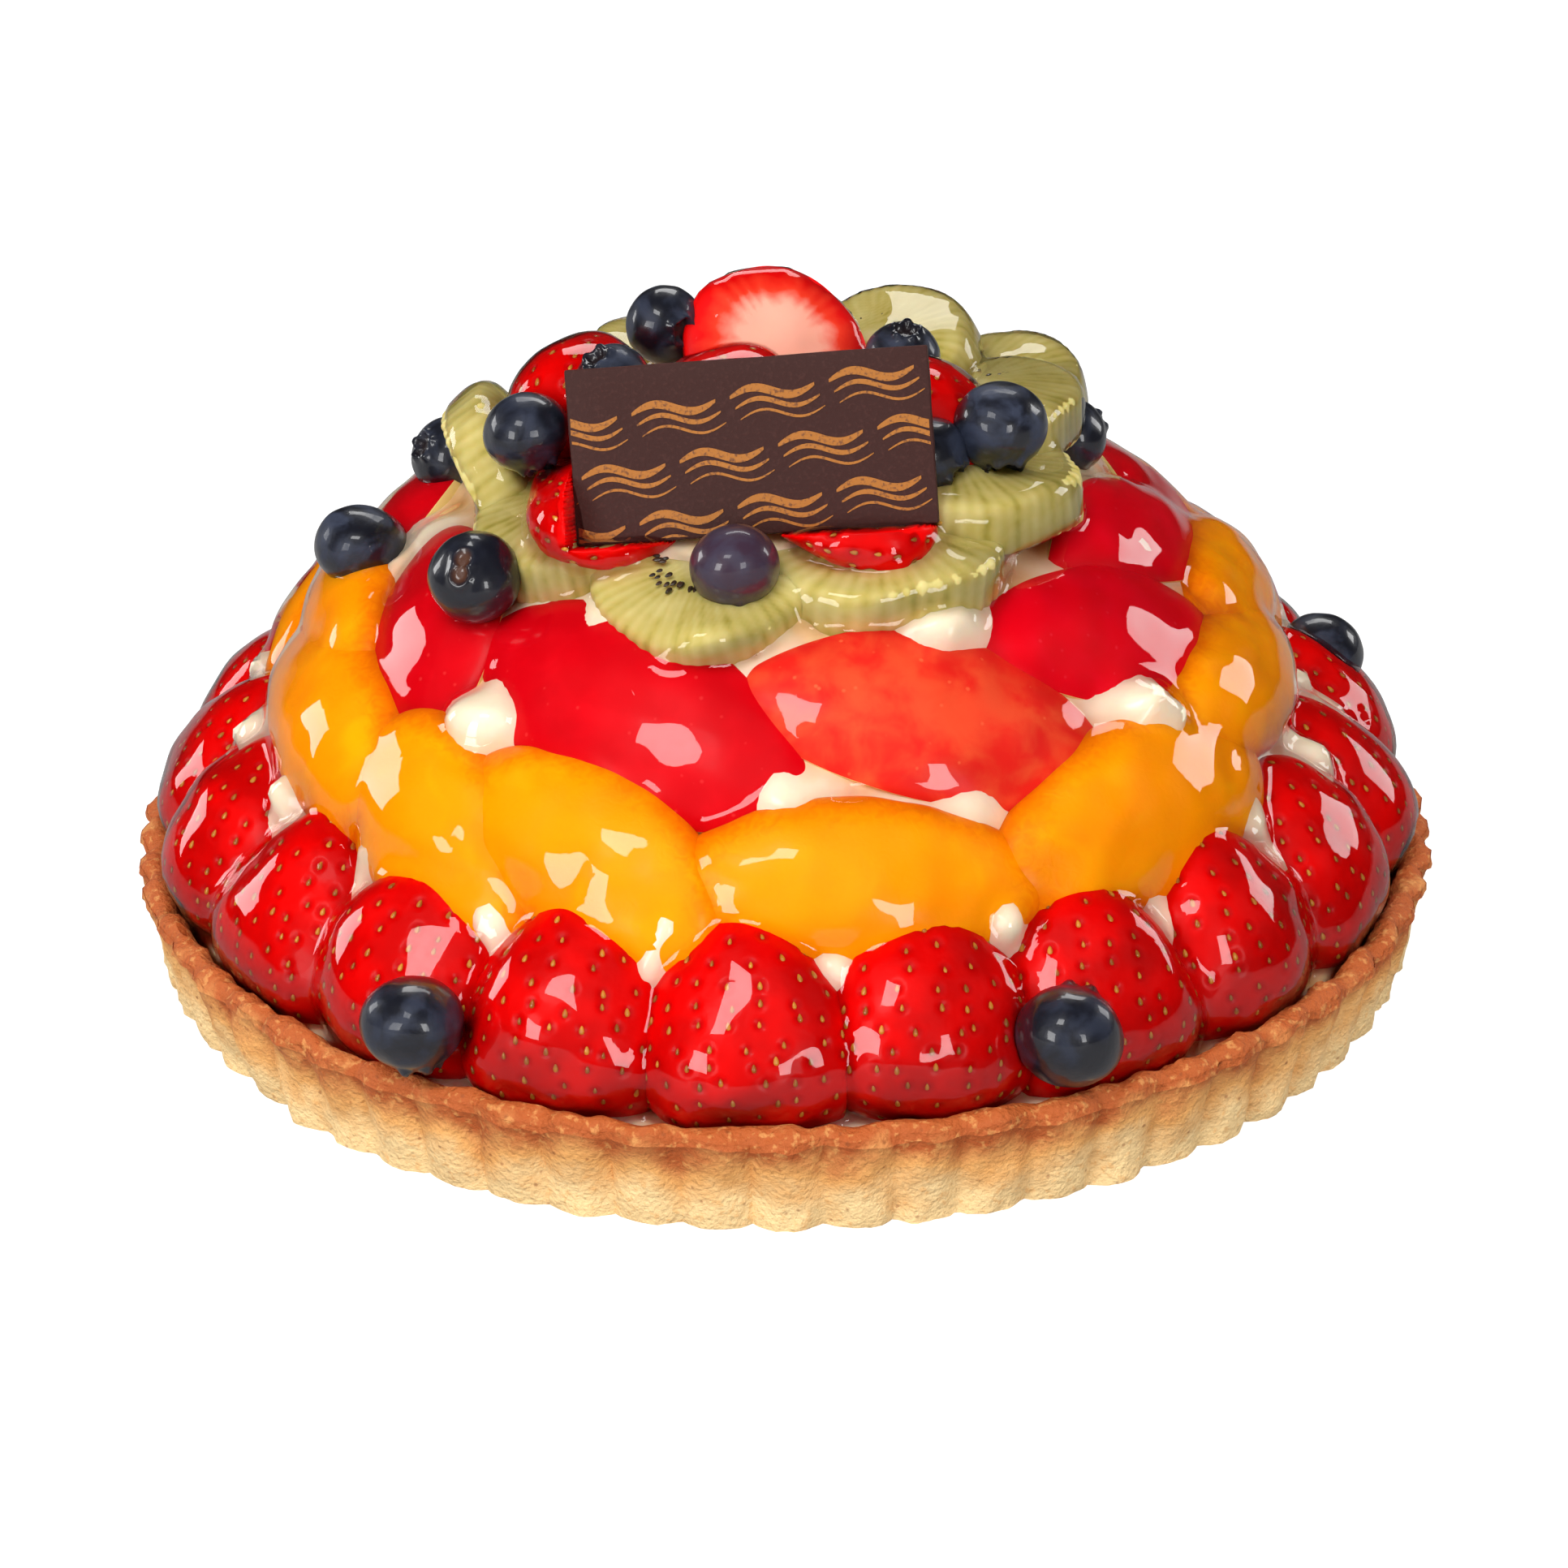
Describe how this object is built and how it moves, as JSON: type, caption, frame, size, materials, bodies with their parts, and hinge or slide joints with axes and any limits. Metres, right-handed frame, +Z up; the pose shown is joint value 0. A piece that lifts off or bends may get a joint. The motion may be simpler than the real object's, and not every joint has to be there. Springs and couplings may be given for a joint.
{
  "type": "fruit tart",
  "caption": "Domed fruit tart in a fluted pastry shell, with rings of glazed strawberries, peach, apple and kiwi slices, blueberries and a chocolate plaque.",
  "frame": {"origin": "centre of the flat underside of the pastry shell, which is the bottom centre of the bounding box", "axes": "+Z up along the tart's height; -Y is the front, where the plaque faces; +X is right when seen from the front"},
  "size_m": [0.24, 0.2396, 0.1266],
  "materials": {
    "pastry": "baked shortcrust pastry, golden brown on the rim and pale on the ribs",
    "cream": "soft pale custard cream",
    "strawberry": "red strawberry under clear glossy glaze",
    "peach": "yellow tinned peach under clear glossy glaze",
    "apple": "red apple skin under clear glossy glaze",
    "kiwi": "pale green kiwi flesh under clear glossy glaze",
    "blueberry": "dark blue berry skin with grey bloom",
    "chocolate": "dark chocolate",
    "glaze": "thin clear fruit glaze over the fruit and the cream",
    "gold": "plain gold transfer pattern on the plaque"
  },
  "bodies": {
    "root": {"apple_1": "apple", "apple_2": "apple", "apple_3": "apple", "apple_4": "apple", "apple_5": "apple", "apple_6": "apple", "apples_back": "apple", "blueberry_1": "blueberry", "blueberry_10": "blueberry", "blueberry_11": "blueberry", "blueberry_12": "blueberry", "blueberry_13": "blueberry", "blueberry_14": "blueberry", "blueberry_2": "blueberry", "blueberry_3": "blueberry", "blueberry_4": "blueberry", "blueberry_5": "blueberry", "blueberry_6": "blueberry", "blueberry_7": "blueberry", "blueberry_8": "blueberry", "blueberry_9": "blueberry", "cream": "cream", "crust": "pastry", "kiwi_1": "kiwi", "kiwi_2": "kiwi", "kiwi_3": "kiwi", "kiwi_4": "kiwi", "kiwi_5": "kiwi", "kiwi_6": "kiwi", "kiwi_7": "kiwi", "kiwi_8": "kiwi", "kiwis_back": "kiwi", "peach_1": "peach", "peach_2": "peach", "peach_3": "peach", "peach_4": "peach", "peach_5": "peach", "peach_6": "peach", "peach_7": "peach", "peach_8": "peach", "peaches_back": "peach", "plaque": "chocolate", "strawberries_back": "strawberry", "strawberry_1": "strawberry", "strawberry_10": "strawberry", "strawberry_11": "strawberry", "strawberry_2": "strawberry", "strawberry_3": "strawberry", "strawberry_4": "strawberry", "strawberry_5": "strawberry", "strawberry_6": "strawberry", "strawberry_7": "strawberry", "strawberry_8": "strawberry", "strawberry_9": "strawberry", "top_strawberry_1": "strawberry", "top_strawberry_2": "strawberry", "top_strawberry_3": "strawberry", "top_strawberry_4": "strawberry", "top_strawberry_5": "strawberry", "top_strawberry_6": "strawberry"}
  },
  "joints": []
}
